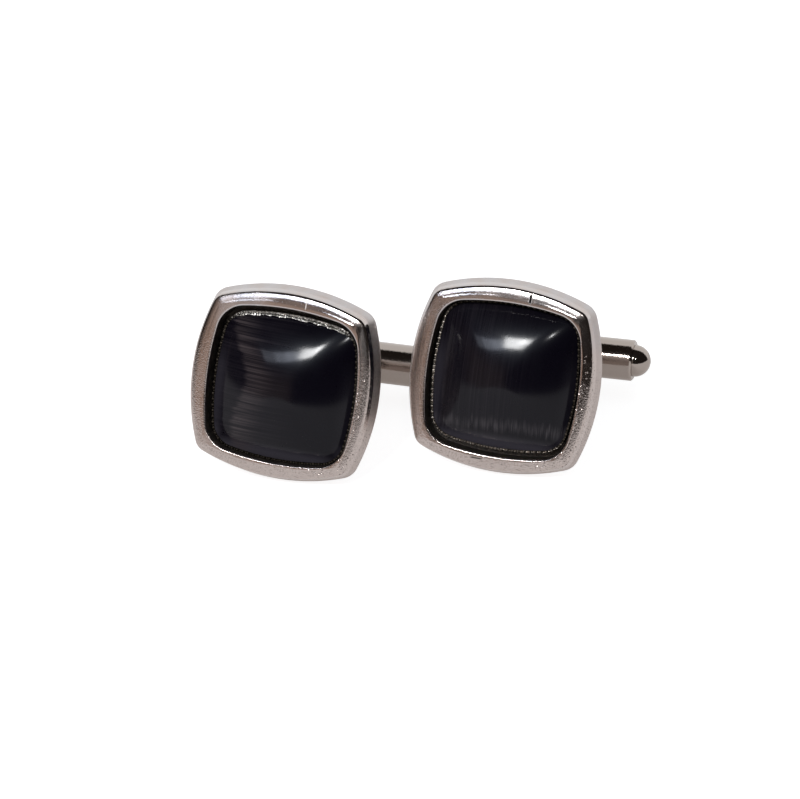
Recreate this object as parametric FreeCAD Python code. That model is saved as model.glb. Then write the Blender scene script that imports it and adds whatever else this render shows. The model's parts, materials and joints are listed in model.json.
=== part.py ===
import FreeCAD, Part
import math
import os

from FreeCAD import Placement, Rotation, Vector

# A matched pair of cufflinks, standing side by side on a table.
# Millimetres, +Z up. The faces look towards -Y and a little up.
# Each link is drawn in its own link frame first: the bar lies along x when it is closed,
# the rivet along y, the face looks towards +z, and z = 0 is the back of the head.

# Stone: a calibrated cushion cabochon, square at the girdle and rounder towards its crown.
stone_half = 6.0
stone_side_radius = 22.8
stone_corner_radius = 2.0
stone_girdle = 0.60
stone_rise = 1.8
stone_level_shares = (1.0, 0.985, 0.95, 0.87, 0.74, 0.57, 0.38, 0.20, 0.08)
crown_side_share = 1.3
crown_corner_share = 0.62
crown_ease = 2.5

# Cup that holds the stone, and the cement under the stone.
cup_wall = 0.16
cup_floor = 0.20
cup_lip = 0.08
stone_fit = 0.02
cement_thickness = 0.12
tooth_pitch = 0.48
tooth_depth = 0.24
tooth_width_share = 0.62

# Head: a cast rim with a closed back.
channel_gap = 0.28
rim_width = 1.68
opening_shift = 0.18
opening_drop = 0.08
head_side_radius = 17.5
head_corner_radius = 1.6
head_floor = 1.05
recess_depth = 2.0
side_run_share = 0.28
front_run_share = 0.41
front_radius = 2.5
front_slope = 6.0
shoulder_round = 0.36
rim_depth_share = 0.90
back_round_share = 0.725
opening_bevel = 0.14

# Bar: a round barrel with a ball plug at each end.
barrel_length = 15.5
barrel_radius = 1.8
barrel_bevel = 0.14
tip_radius = 1.4
tip_collar = 0.05
plug_radius = 0.8
plug_length = 2.4
plug_relief = 0.3

# Rivet.
pin_radius = 0.6
pin_clearance = 0.03
rivet_radius = 1.0
rivet_height = 0.22

# Spring strip inside the fork.
spring_thickness = 0.20
spring_width = 2.6
spring_tail = 1.1
spring_clearance = 0.05
spring_seat = 0.02
nest_clearance = 0.38

# Yoke: foot, stem and fork in one casting.
foot_radius = 2.9
foot_thickness = 0.5
flare_height = 1.1
flare_hollow_share = 0.3
stem_radius = 1.55
stem_length = 6.2
arm_thickness = 0.78
arm_end_radius = 1.6
arm_root_half = 1.9
arm_round = 0.16

# The heads sit a little turned on their posts.
head_turn = -3.2

# Where each stone sits in its recess, as shares of the channel beside the cup (x, y).
left_stone_shift_shares = (0.0, -0.85)
right_stone_shift_shares = (0.0, 0.6)

# Standing place of each link: how far it is turned about the vertical, and the back of its head.
left_yaw = -17.0
right_yaw = -14.9
link_spacing = 18.2
right_setback = 1.3

overrun = 2.0
pick_share = 0.2

# Sizes that follow.
cup_half_in = stone_half + stone_fit
cup_half_out = cup_half_in + cup_wall
opening_half = cup_half_out + channel_gap
opening_offset = opening_half - stone_half
head_half = opening_half + rim_width
rim_height = head_floor + recess_depth
side_run = head_corner_radius * side_run_share
front_run = head_corner_radius * front_run_share
rim_depth = head_corner_radius * rim_depth_share
slope_run = rim_depth - side_run - front_run
back_round = head_corner_radius * back_round_share
stone_base = head_floor + cup_floor + cement_thickness
stone_girdle_top = stone_base + stone_girdle
cup_top = stone_girdle_top + cup_lip
barrel_half = barrel_length / 2
bar_half = barrel_half + tip_collar + tip_radius
spring_in = barrel_radius + spring_clearance
spring_out = spring_in + spring_thickness
fork_in = spring_out + spring_seat
fork_out = fork_in + arm_thickness
fork_centre = -stem_length - fork_in
pivot_z = fork_centre + spring_in - nest_clearance - bar_half
flare_run = (foot_radius - stem_radius) / 2
stem_end = fork_centre + math.sqrt(fork_out ** 2 - stem_radius ** 2)


def cushion_wire(half, side_radius, corner_radius, height):
    """Outline of four bulged sides joined by tangent corner arcs, flat at one height."""
    centre = half - side_radius
    reach = side_radius - corner_radius
    corner = (centre + math.sqrt(2 * reach ** 2 - centre ** 2)) / 2
    sweep = math.atan2(corner, corner - centre)
    side_end = Vector(side_radius * math.sin(sweep), centre + side_radius * math.cos(sweep), height)
    side_start = Vector(-side_end.x, side_end.y, height)
    side_mid = Vector(0, half, height)
    corner_mid = Vector(corner, corner, height) + Vector(1, 1, 0).normalize() * corner_radius
    corner_end = Vector(side_end.y, side_end.x, height)
    edges = []
    for quarter in range(4):
        turn = Rotation(Vector(0, 0, 1), -90 * quarter)
        side = [turn.multVec(p) for p in (side_start, side_mid, side_end)]
        bend = [turn.multVec(p) for p in (side_end, corner_mid, corner_end)]
        edges.append(Part.Arc(*side).toShape())
        edges.append(Part.Arc(*bend).toShape())
    return Part.Wire(edges)


def stone_outline(offset, height):
    """Outline that runs round the stone at an even distance from it."""
    return cushion_wire(stone_half + offset, stone_side_radius + offset, stone_corner_radius + offset, height)


def prism(wire, height):
    """Upright solid on a flat outline."""
    return Part.Face(wire).extrude(Vector(0, 0, height))


def spin(points_and_arcs, axis):
    """Solid of revolution about an axis through the origin, from a closed profile of edges."""
    profile = Part.Face(Part.Wire(points_and_arcs))
    return profile.revolve(Vector(0, 0, 0), axis, 360)


def line(a, b):
    return Part.LineSegment(a, b).toShape()


def from_middle(outline):
    """The same outline, started at the middle of its first side."""
    first = outline.OrderedEdges[0]
    start, end = first.ParameterRange
    halves = first.split((start + end) / 2).OrderedEdges
    return Part.Wire([halves[1]] + outline.OrderedEdges[1:] + [halves[0]])


def rim_section():
    """Section of the rim: rounded back, leaning side, tight shoulder, domed front and a sloped inner part."""
    slope = math.radians(front_slope)
    lifted = Vector(0, math.sin(slope), math.cos(slope))
    inner = Vector(0, head_half - rim_depth, 0)
    crest = Vector(0, head_half - rim_depth, rim_height)
    front_end = crest + Vector(0, slope_run, -slope_run * math.tan(slope))
    front_centre = front_end - lifted * front_radius
    front_reach = head_half - side_run - front_centre.y
    front_rise = math.sqrt(front_radius ** 2 - front_reach ** 2)
    shoulder = Vector(0, head_half - side_run, front_centre.z + front_rise)
    heel = Vector(0, head_half - back_round, 0)
    heel_centre = Vector(0, head_half - back_round, back_round)
    heel_mid = heel_centre + Vector(0, 1, -1).normalize() * back_round
    side_low = Vector(0, head_half, back_round)
    rise = (shoulder - side_low).normalize()
    inward = Vector(0, -rise.z, rise.y)
    start = side_low + inward * shoulder_round - front_centre
    along = start.dot(rise)
    reach = math.sqrt(along ** 2 - start.dot(start) + (front_radius - shoulder_round) ** 2)
    turn_centre = front_centre + start + rise * (reach - along)
    out = (turn_centre - front_centre).normalize()
    side_top = turn_centre - inward * shoulder_round
    front_start = front_centre + out * front_radius
    turn_mid = turn_centre + (out - inward).normalize() * shoulder_round
    front_mid = front_centre + (out + lifted).normalize() * front_radius
    return Part.Wire([
        line(inner, heel),
        Part.Arc(heel, heel_mid, side_low).toShape(),
        line(side_low, side_top),
        Part.Arc(side_top, turn_mid, front_start).toShape(),
        Part.Arc(front_start, front_mid, front_end).toShape(),
        line(front_end, crest),
        line(crest, inner),
    ])


def head_frame():
    """Cast rim and back: the section swept round the bulged outline, closed behind, with a deep recess."""
    outline = cushion_wire(head_half, head_side_radius, head_corner_radius, 0)
    rim = from_middle(outline).makePipeShell([rim_section()], True, True)
    core = cushion_wire(head_half - rim_depth, head_side_radius - rim_depth,
                        head_corner_radius - rim_depth, 0)
    block = rim.fuse(prism(core, rim_height)).removeSplitter()
    recess = prism(stone_outline(opening_offset, head_floor), rim_height)
    lip_low = stone_outline(opening_offset, rim_height - opening_bevel)
    lip_high = stone_outline(opening_offset + 2 * opening_bevel, rim_height + opening_bevel)
    recess = recess.fuse(Part.makeLoft([lip_low, lip_high], True, True))
    recess.translate(Vector(opening_shift, -opening_drop, 0))
    return block.cut(recess)


def bezel_cup():
    """Thin cup with a fine toothed edge all round the stone."""
    cup = prism(stone_outline(cup_half_out - stone_half, head_floor), cup_top - head_floor)
    hollow = prism(stone_outline(stone_fit, head_floor + cup_floor), cup_top)
    cup = cup.cut(hollow)
    path = stone_outline(stone_fit + cup_wall / 2, cup_top)
    count = 4 * round(path.Length / tooth_pitch / 4)
    step = path.Length / count
    notch_half = step * tooth_width_share / 2
    notches = []
    for edge in path.Edges:
        share = edge.Length / step
        copies = max(1, round(share))
        first, last = edge.ParameterRange
        for i in range(copies):
            where = first + (last - first) * (i + 0.5) / copies
            spot = edge.valueAt(where)
            along = edge.tangentAt(where)
            out = Vector(0, 0, 1).cross(along).normalize()
            start = spot - out * cup_wall
            corners = [
                start - along * notch_half,
                start - Vector(0, 0, tooth_depth),
                start + along * notch_half,
            ]
            notch = Part.Face(Part.makePolygon(corners + corners[:1]))
            notches.append(notch.extrude(out * cup_wall * 2))
    return cup.cut(Part.makeCompound(notches))


def stone_cement():
    """Thin bed between the floor of the cup and the stone."""
    return prism(stone_outline(0, head_floor + cup_floor), cement_thickness)


def cat_eye_stone():
    """Cushion cabochon: an upright girdle under a vault whose contours grow rounder towards the crown."""
    vault_radius = (stone_half ** 2 + stone_rise ** 2) / (2 * stone_rise)
    sections = []
    for share in stone_level_shares:
        drop = vault_radius - math.sqrt(vault_radius ** 2 - (stone_half * share) ** 2)
        height = stone_girdle_top + stone_rise - drop
        ease = share ** crown_ease
        side = stone_side_radius * ease + stone_half * crown_side_share * (1 - ease)
        corner = stone_corner_radius * ease + stone_half * crown_corner_share * (1 - ease)
        sections.append(cushion_wire(stone_half * share, side * share, corner * share, height))
    sections.append(Part.Vertex(0, 0, stone_girdle_top + stone_rise))
    dome = Part.makeLoft(sections, True, False)
    girdle = prism(stone_outline(0, stone_base), stone_girdle)
    return girdle.fuse(dome).removeSplitter()


def u_profile(half, x, end):
    """Open U in the y-z plane, as points and an arc, from one leg's end round to the other's."""
    top = Vector(x, half, fork_centre)
    low = Vector(x, -half, fork_centre)
    apex = Vector(x, 0, fork_centre + half)
    return [
        line(Vector(x, half, end), top),
        Part.Arc(top, apex, low).toShape(),
        line(low, Vector(x, -half, end)),
    ]


def u_strip(outer, inner, half_width, end):
    """Bent strip of even thickness between two U outlines."""
    x = -half_width
    far = u_profile(outer, x, end)
    near = u_profile(inner, x, end)
    caps = [
        line(Vector(x, outer, end), Vector(x, inner, end)),
        line(Vector(x, -outer, end), Vector(x, -inner, end)),
    ]
    face = Part.Face(Part.Wire(Part.__sortEdges__(far + near + caps)))
    return face.extrude(Vector(half_width * 2, 0, 0))


def yoke():
    """Foot, stem and fork: a bent fork with tapered, round-ended arms on a flared round stem."""
    end = pivot_z - arm_end_radius
    fork = u_strip(fork_out, fork_in, arm_root_half + overrun, end - overrun)
    root = fork_centre + fork_out
    plan = [
        line(Vector(-arm_root_half, -fork_out - overrun, root + overrun),
             Vector(-arm_end_radius, -fork_out - overrun, pivot_z)),
        Part.Arc(Vector(-arm_end_radius, -fork_out - overrun, pivot_z),
                 Vector(0, -fork_out - overrun, end),
                 Vector(arm_end_radius, -fork_out - overrun, pivot_z)).toShape(),
        line(Vector(arm_end_radius, -fork_out - overrun, pivot_z),
             Vector(arm_root_half, -fork_out - overrun, root + overrun)),
        line(Vector(arm_root_half, -fork_out - overrun, root + overrun),
             Vector(-arm_root_half, -fork_out - overrun, root + overrun)),
    ]
    trim = Part.Face(Part.Wire(plan)).extrude(Vector(0, (fork_out + overrun) * 2, 0))
    fork = fork.common(trim)
    outer_edges = [e for e in fork.Edges if on_fork_outside(e)]
    fork = fork.makeFillet(arm_round, outer_edges)
    flare_start = Vector(foot_radius - flare_run, 0, -foot_thickness)
    flare_end = Vector(stem_radius, 0, -foot_thickness - flare_height)
    bend = (flare_start + flare_end) / 2 + Vector(-flare_run, 0, flare_height) * flare_hollow_share
    foot = [
        line(Vector(0, 0, 0), Vector(foot_radius, 0, 0)),
        line(Vector(foot_radius, 0, 0), Vector(foot_radius, 0, -foot_thickness)),
        line(Vector(foot_radius, 0, -foot_thickness), flare_start),
        Part.Arc(flare_start, bend, flare_end).toShape(),
        line(flare_end, Vector(stem_radius, 0, stem_end)),
        line(Vector(stem_radius, 0, stem_end), Vector(0, 0, stem_end)),
        line(Vector(0, 0, stem_end), Vector(0, 0, 0)),
    ]
    stem = spin(foot, Vector(0, 0, 1))
    body = fork.fuse(stem).removeSplitter()
    return body.cut(cross_hole(pin_radius))


def on_fork_outside(edge):
    """True for the rims of the fork's outer surface."""
    first, last = edge.ParameterRange
    for t in (first, (first + last) / 2, last):
        p = edge.valueAt(t)
        if p.z > fork_centre:
            far = math.hypot(p.y, p.z - fork_centre)
        else:
            far = abs(p.y)
        if abs(far - fork_out) > arm_thickness * pick_share:
            return False
    return True


def cross_hole(radius):
    """Round cutter along the rivet's axis, through the whole fork."""
    start = Vector(0, -fork_out - overrun, pivot_z)
    return Part.makeCylinder(radius, (fork_out + overrun) * 2, start, Vector(0, 1, 0))


def click_spring():
    """Thin strip bent round the inside of the fork, with a hole in each leg for the rivet."""
    strip = u_strip(spring_out, spring_in, spring_width / 2, pivot_z - spring_tail)
    return strip.cut(cross_hole(pin_radius + pin_clearance))


def pivot_pin():
    """Rivet along y with a low dome on the outside of each arm."""
    cap_radius = (rivet_radius ** 2 + rivet_height ** 2) / (2 * rivet_height)
    half_angle = math.asin(rivet_radius / cap_radius) / 2
    shoulder = Vector(rivet_radius, fork_out, 0)
    crest = Vector(0, fork_out + rivet_height, 0)
    middle = Vector(cap_radius * math.sin(half_angle),
                    crest.y - cap_radius * (1 - math.cos(half_angle)), 0)
    flip = Vector(1, -1, 1)

    def mirrored(p):
        return Vector(p.x * flip.x, p.y * flip.y, p.z * flip.z)

    neck = Vector(pin_radius, fork_out, 0)
    profile = [
        Part.Arc(crest, middle, shoulder).toShape(),
        line(shoulder, neck),
        line(neck, mirrored(neck)),
        line(mirrored(neck), mirrored(shoulder)),
        Part.Arc(mirrored(shoulder), mirrored(middle), mirrored(crest)).toShape(),
        line(mirrored(crest), crest),
    ]
    pin = spin(profile, Vector(0, 1, 0))
    pin.translate(Vector(0, 0, pivot_z))
    return pin


def toggle_barrel():
    """Round bar, drilled across for the rivet and at both ends for the ball plugs."""
    outline = [
        Vector(-barrel_half, 0, 0),
        Vector(-barrel_half, barrel_radius - barrel_bevel, 0),
        Vector(-barrel_half + barrel_bevel, barrel_radius, 0),
        Vector(barrel_half - barrel_bevel, barrel_radius, 0),
        Vector(barrel_half, barrel_radius - barrel_bevel, 0),
        Vector(barrel_half, 0, 0),
    ]
    sides = [line(a, b) for a, b in zip(outline, outline[1:] + outline[:1])]
    barrel = spin(sides, Vector(1, 0, 0))
    depth = plug_length + plug_relief
    for way in (1, -1):
        mouth = Vector((barrel_half + overrun) * way, 0, 0)
        bore = Part.makeCylinder(plug_radius, depth + overrun, mouth, Vector(-way, 0, 0))
        barrel = barrel.cut(bore)
    barrel.translate(Vector(0, 0, pivot_z))
    return barrel.cut(cross_hole(pin_radius + pin_clearance))


def toggle_tip(way):
    """Ball plug: shank in the barrel, short collar and a half ball."""
    shank_end = barrel_half - plug_length
    ball = barrel_half + tip_collar
    rise = tip_radius * math.sin(math.radians(45))
    profile = [
        line(Vector(shank_end, 0, 0), Vector(shank_end, plug_radius, 0)),
        line(Vector(shank_end, plug_radius, 0), Vector(barrel_half, plug_radius, 0)),
        line(Vector(barrel_half, plug_radius, 0), Vector(barrel_half, tip_radius, 0)),
        line(Vector(barrel_half, tip_radius, 0), Vector(ball, tip_radius, 0)),
        Part.Arc(Vector(ball, tip_radius, 0), Vector(ball + rise, rise, 0),
                 Vector(ball + tip_radius, 0, 0)).toShape(),
        line(Vector(ball + tip_radius, 0, 0), Vector(shank_end, 0, 0)),
    ]
    tip = spin(profile, Vector(1, 0, 0))
    if way < 0:
        tip.rotate(Vector(0, 0, 0), Vector(0, 0, 1), 180)
    tip.translate(Vector(0, 0, pivot_z))
    return tip


def rest_tilt():
    """Lean of the face, in degrees, at which the head's back edge and the fork's end both touch the table."""
    turn = math.radians(head_turn)
    side = (head_half - head_side_radius) * math.cos(turn) + head_side_radius
    rise = (side - back_round) - (fork_out - arm_round)
    run = back_round + (-pivot_z + arm_end_radius - arm_round)
    spare = back_round - arm_round
    return math.degrees(math.atan2(rise, run) + math.asin(spare / math.hypot(rise, run)))


def link(prefix, stone_shift_shares):
    """The ten pieces of one cufflink in the link frame, by name."""
    turned = Rotation(Vector(0, 0, 1), head_turn)
    shift = Vector(stone_shift_shares[0], stone_shift_shares[1], 0) * channel_gap
    shift += Vector(opening_shift, -opening_drop, 0)
    pieces = {}
    head_pieces = {"head_frame": (head_frame(), Vector(0, 0, 0))}
    for name, shape in (("bezel_cup", bezel_cup()), ("stone_cement", stone_cement()),
                        ("cat_eye_stone", cat_eye_stone())):
        head_pieces[name] = (shape, shift)
    for name, (shape, offset) in head_pieces.items():
        shape.translate(offset)
        shape.Placement = Placement(Vector(0, 0, 0), turned).multiply(shape.Placement)
        pieces[prefix + name] = shape
    pieces[prefix + "yoke"] = yoke()
    pieces[prefix + "click_spring"] = click_spring()
    pieces[prefix + "pivot_pin"] = pivot_pin()
    pieces[prefix + "toggle_barrel"] = toggle_barrel()
    pieces[prefix + "toggle_tip_a"] = toggle_tip(1)
    pieces[prefix + "toggle_tip_b"] = toggle_tip(-1)
    return pieces


def stand(pieces, yaw, x, y):
    """Stand a link on the table: leaned back, turned about the vertical, lowest point at zero."""
    lean = Rotation(Vector(1, 0, 0), 90 - rest_tilt())
    turned = Rotation(Vector(0, 0, 1), yaw).multiply(lean)
    place = Placement(Vector(x, y, 0), turned)
    for name in pieces:
        pieces[name].Placement = place.multiply(pieces[name].Placement)
    floor = min(s.optimalBoundingBox(False).ZMin for s in pieces.values())
    place.move(Vector(0, 0, -floor))
    for shape in pieces.values():
        shape.translate(Vector(0, 0, -floor))
    return place


left = link("left_", left_stone_shift_shares)
right = link("right_", right_stone_shift_shares)
places = {
    "left": stand(left, left_yaw, -link_spacing / 2, 0),
    "right": stand(right, right_yaw, link_spacing / 2, right_setback),
}

# The pair is centred over the origin.
everything = dict(left)
everything.update(right)
boxes = [s.optimalBoundingBox(False) for s in everything.values()]
centre = Vector((min(b.XMin for b in boxes) + max(b.XMax for b in boxes)) / 2,
                (min(b.YMin for b in boxes) + max(b.YMax for b in boxes)) / 2, 0)

os.makedirs("parts", exist_ok=True)
for name, shape in everything.items():
    shape.translate(-centre)
    shape.exportStep("parts/" + name + ".step")

for name, place in places.items():
    place.move(-centre)
    pivot = place.multVec(Vector(0, 0, pivot_z))
    axis = place.Rotation.multVec(Vector(0, 1, 0))
    face = place.Rotation.multVec(Vector(0, 0, 1))
    back = place.Base
    print(name, "pivot", tuple(round(v, 4) for v in pivot), "axis", tuple(round(v, 6) for v in axis))
    print(name, "face", tuple(round(v, 6) for v in face), "back", tuple(round(v, 4) for v in back))
print("lean", round(rest_tilt(), 3), "bar half", round(bar_half, 3), "pivot z", round(pivot_z, 3))
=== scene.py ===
"""Looks of a matched pair of cufflinks: worn plated rims, black cat's-eye stones, swivelling bars.

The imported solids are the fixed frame. The rims, stones and toothed cups are modelled again here at
a finer grain, in the same places, and every other piece keeps its solid and gets its finish.
"""

import json
import logging
import math
from dataclasses import dataclass, field
from enum import Enum
from typing import Any, Sequence

import bmesh
import bpy
from mathutils import Euler, Matrix, Vector, noise

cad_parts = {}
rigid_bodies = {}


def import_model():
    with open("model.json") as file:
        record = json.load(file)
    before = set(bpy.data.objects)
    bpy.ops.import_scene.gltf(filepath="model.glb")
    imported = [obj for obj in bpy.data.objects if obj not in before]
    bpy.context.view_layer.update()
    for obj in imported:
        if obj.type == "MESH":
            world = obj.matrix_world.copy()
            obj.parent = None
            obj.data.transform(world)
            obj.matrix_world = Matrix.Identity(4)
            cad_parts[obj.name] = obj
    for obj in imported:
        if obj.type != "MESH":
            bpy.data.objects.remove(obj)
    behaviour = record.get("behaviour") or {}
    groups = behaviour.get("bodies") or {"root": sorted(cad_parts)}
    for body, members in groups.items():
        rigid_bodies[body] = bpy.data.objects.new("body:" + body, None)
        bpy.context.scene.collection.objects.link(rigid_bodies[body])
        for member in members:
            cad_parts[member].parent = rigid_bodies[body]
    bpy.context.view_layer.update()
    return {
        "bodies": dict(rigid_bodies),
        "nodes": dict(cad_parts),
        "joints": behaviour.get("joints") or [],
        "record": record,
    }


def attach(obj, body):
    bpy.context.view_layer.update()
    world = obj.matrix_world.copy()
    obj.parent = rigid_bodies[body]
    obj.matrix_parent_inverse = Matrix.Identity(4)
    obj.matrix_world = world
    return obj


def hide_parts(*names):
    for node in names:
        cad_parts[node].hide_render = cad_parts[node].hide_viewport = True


LOG = logging.getLogger("cufflinks")
MM = 0.001
X, Y, Z = 0, 1, 2
Colour = tuple[float, float, float]
Span = tuple[float, float]
Socket = bpy.types.NodeSocket
NOISE_BULK: Span = (0.3, 0.7)


class Side(Enum):
    """Which link of the pair, as seen from the front."""

    LEFT = "left"
    RIGHT = "right"


class FibreRun(Enum):
    """Direction of the glass fibres in a stone, across or up its face."""

    ACROSS = "across"
    UPRIGHT = "upright"


def clamped(value: float) -> float:
    """The value, held between 0 and 1."""
    return min(1.0, max(0.0, value))


def direction(azimuth: float, elevation: float) -> Vector:
    """Unit vector towards a place round the pair.

    Args:
        azimuth: 0 is the front and 90 the right, in degrees.
        elevation: height above the table, in degrees.

    Returns:
        The vector.
    """
    a, e = math.radians(azimuth), math.radians(elevation)
    return Vector((math.sin(a) * math.cos(e), -math.cos(a) * math.cos(e), math.sin(e)))


@dataclass(frozen=True)
class LinkFrame:
    """Place of one link, with zero at the head's back.

    x runs along the closed bar, y along the rivet and z out of the face.
    """

    origin: Vector
    turn: Matrix

    @classmethod
    def from_record(cls, record: dict[str, Any], side: Side, post_length: float,
                    head_turn: float) -> "LinkFrame":
        """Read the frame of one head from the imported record.

        Args:
            record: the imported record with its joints.
            side: which link.
            post_length: distance from the head's back to the rivet, in metres.
            head_turn: turn of the head on its post, in degrees.

        Returns:
            The head's own frame, turned on the post as the solids are.
        """
        joints, mounts = record["behaviour"]["joints"], record["mounts"]
        joint = next(j for j in joints if j["name"] == f"{side.value}_toggle_pivot")
        mount = next(m for m in mounts if m["name"] == f"{side.value}_cuff_post")
        face = -Vector(mount["axis"]).normalized()
        rivet = -Vector(joint["axis"]).normalized()
        bar = rivet.cross(face).normalized()
        pivot = Vector(joint["pos_m"])
        turned = Matrix.Rotation(math.radians(head_turn), 3, "Z")
        turn = Matrix((bar, rivet, face)).transposed() @ turned
        return cls(origin=pivot + face * post_length, turn=turn)

    def place(self, point: Vector) -> Vector:
        """Take a point of the link, in millimetres, to the frame of the pair, in metres."""
        return self.origin + self.turn @ (point * MM)

    def mapping(self) -> tuple[Vector, Euler, Vector]:
        """What a Mapping node needs to read the link's millimetres.

        Returns:
            Location, rotation and scale of the node.
        """
        back = self.turn.transposed()
        scale = 1 / MM
        return -(back @ self.origin) * scale, back.to_euler(), Vector((scale, scale, scale))


@dataclass(frozen=True)
class Cushion:
    """Outline of four bulged sides with tangent corner arcs, in millimetres."""

    half: float
    side_radius: float
    corner_radius: float

    def grown(self, distance: float) -> "Cushion":
        """The outline at an even distance outside this one."""
        return Cushion(self.half + distance, self.side_radius + distance,
                       self.corner_radius + distance)

    def stations(self, per_side: int, per_corner: int) -> list[Vector]:
        """Points round the outline, evenly along each side and each corner.

        Args:
            per_side: points on each of the four sides.
            per_corner: points on each of the four corners.

        Returns:
            The points, clockwise from the left end of the top side.
        """
        centre = self.half - self.side_radius
        reach = self.side_radius - self.corner_radius
        corner = (centre + math.sqrt(2 * reach ** 2 - centre ** 2)) / 2
        sweep = math.atan2(corner, corner - centre)
        quarter: list[Vector] = []
        for i in range(per_side):
            angle = -sweep + 2 * sweep * i / per_side
            quarter.append(self._on_arc(0.0, centre, self.side_radius, angle))
        for i in range(per_corner):
            angle = sweep + (math.pi / 2 - 2 * sweep) * i / per_corner
            quarter.append(self._on_arc(corner, corner, self.corner_radius, angle))
        ring: list[Vector] = []
        for turn in range(4):
            spun = Matrix.Rotation(-math.pi / 2 * turn, 3, "Z")
            ring.extend(spun @ p for p in quarter)
        return ring

    @staticmethod
    def _on_arc(x: float, y: float, radius: float, angle: float) -> Vector:
        """Point of an arc round x and y, at an angle from its top towards the right."""
        return Vector((x + radius * math.sin(angle), y + radius * math.cos(angle), 0))


class Skin:
    """A closed skin that is drawn ring by ring in edit mode, each ring extruded from the last."""

    def __init__(self, name: str, ring: Sequence[Vector]) -> None:
        """Start the skin with a circle that is pulled to the first ring.

        Args:
            name: name of the new object.
            ring: places of the first ring, in metres.
        """
        bpy.ops.object.select_all(action="DESELECT")
        bpy.ops.mesh.primitive_circle_add(vertices=len(ring), radius=MM, fill_type="NOTHING")
        self.obj: bpy.types.Object = bpy.context.object
        self.obj.name = name
        self.obj.data.name = name
        station = self.obj.data.attributes.new("station", "INT", "POINT")
        station.data.foreach_set("value", list(range(len(ring))))
        for vertex, place in zip(self.obj.data.vertices, ring):
            vertex.co = place
        bpy.ops.object.mode_set(mode="EDIT")
        bpy.ops.mesh.select_mode(type="VERT")
        bpy.ops.mesh.select_all(action="SELECT")

    def extrude(self, ring: Sequence[Vector], finish: int = 0) -> None:
        """Extrude the open edge and pull it to the next ring.

        Args:
            ring: places of the new ring, in the order of the first one.
            finish: material slot of the faces that this makes.
        """
        bpy.ops.mesh.extrude_region_move(TRANSFORM_OT_translate={"value": (0, 0, 0)})
        edit = bmesh.from_edit_mesh(self.obj.data)
        layer = edit.verts.layers.int["station"]
        for vertex in edit.verts:
            if vertex.select:
                vertex.co = ring[vertex[layer]]
                for face in vertex.link_faces:
                    face.material_index = finish
        bmesh.update_edit_mesh(self.obj.data)

    def cap(self) -> None:
        """Close the open edge with a flat face."""
        bpy.ops.mesh.edge_face_add()

    def finish(self, sharp_angle: float) -> bpy.types.Object:
        """Close what is still open, turn the faces outwards and smooth the shading.

        Args:
            sharp_angle: edges sharper than this stay sharp, in degrees.

        Returns:
            The finished object, at the origin.
        """
        bpy.ops.mesh.select_all(action="DESELECT")
        bpy.ops.mesh.select_non_manifold()
        bpy.ops.mesh.edge_face_add()
        bpy.ops.mesh.select_all(action="SELECT")
        bpy.ops.mesh.normals_make_consistent(inside=False)
        bpy.ops.object.mode_set(mode="OBJECT")
        self.obj.data.attributes.remove(self.obj.data.attributes["station"])
        bpy.ops.object.shade_smooth_by_angle(angle=math.radians(sharp_angle))
        return self.obj


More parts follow.
